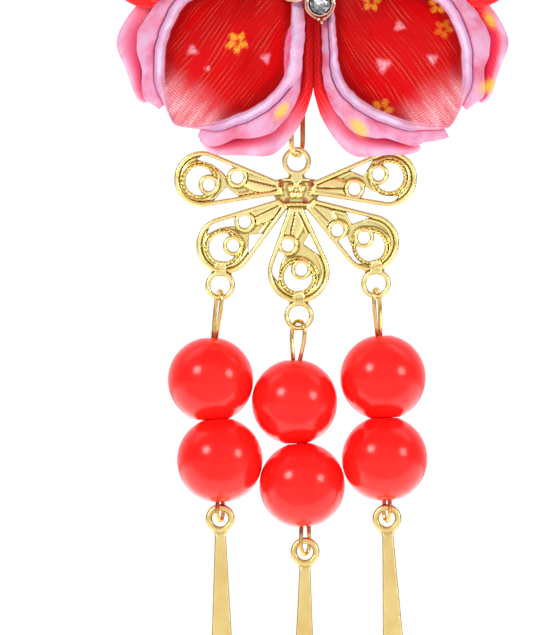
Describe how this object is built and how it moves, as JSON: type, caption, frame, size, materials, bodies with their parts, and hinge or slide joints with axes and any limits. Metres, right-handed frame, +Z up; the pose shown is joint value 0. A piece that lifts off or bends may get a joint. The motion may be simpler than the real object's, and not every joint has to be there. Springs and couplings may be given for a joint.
{
  "type": "kanzashi hair clip",
  "caption": "Hair clip with a folded cloth flower round a gilt and stone centre, and a pierced gilt drop that carries strands of round beads and flat bars.",
  "frame": {"origin": "centre of the clip's mouth, on the flower's axis", "axes": "+Z up against the drop, -Y out of the flower's face, +X to the right seen from the front"},
  "size_m": [0.0566, 0.0201, 0.1354],
  "materials": {
    "red_cloth": "printed satin, folded",
    "pink_cloth": "printed satin, folded, pink fading to red at the root",
    "gilt": "polished gilt",
    "satin_gilt": "satin gilt sheet",
    "rose_gilt": "bright rose gilt wire",
    "steel": "plain sprung steel",
    "stone": "clear cut glass",
    "bead": "glossy opaque red"
  },
  "bodies": {
    "flower": {"clip": "steel", "centre_setting": "rose_gilt", "centre_stone": "stone", "outer_stone_1": "stone", "outer_stone_2": "stone", "outer_stone_3": "stone", "outer_stone_4": "stone", "outer_stone_5": "stone", "cup_lower_left": "red_cloth", "cup_lower_right": "red_cloth", "cup_right": "red_cloth", "cup_top": "red_cloth", "cup_left": "red_cloth", "collar_lower_left": "pink_cloth", "collar_lower_right": "pink_cloth", "collar_right": "pink_cloth", "collar_top": "pink_cloth", "collar_left": "pink_cloth", "wing_lower_left": "pink_cloth", "wing_lower_right": "pink_cloth", "wing_right": "pink_cloth", "wing_top": "pink_cloth", "wing_left": "pink_cloth"},
    "ring": {"link": "rose_gilt"},
    "drop": {"filigree": "gilt", "left_eye_pin": "rose_gilt", "left_upper_bead": "bead", "left_lower_bead": "bead", "left_bar": "satin_gilt", "middle_eye_pin": "rose_gilt", "middle_upper_bead": "bead", "middle_lower_bead": "bead", "middle_bar": "satin_gilt", "right_eye_pin": "rose_gilt", "right_upper_bead": "bead", "right_lower_bead": "bead", "right_bar": "satin_gilt"}
  },
  "joints": [
    {"name": "ring_swing", "type": "hinge", "parent": "flower", "child": "ring", "pos_m": [-0.0019, -0.0028, -0.0191], "axis": [1, 0, 0], "range_deg": [-12, 30]},
    {"name": "drop_sway", "type": "hinge", "parent": "ring", "child": "drop", "pos_m": [-0.0019, -0.0028, -0.0261], "axis": [0, 1, 0], "range_deg": [-30, 30]}
  ]
}
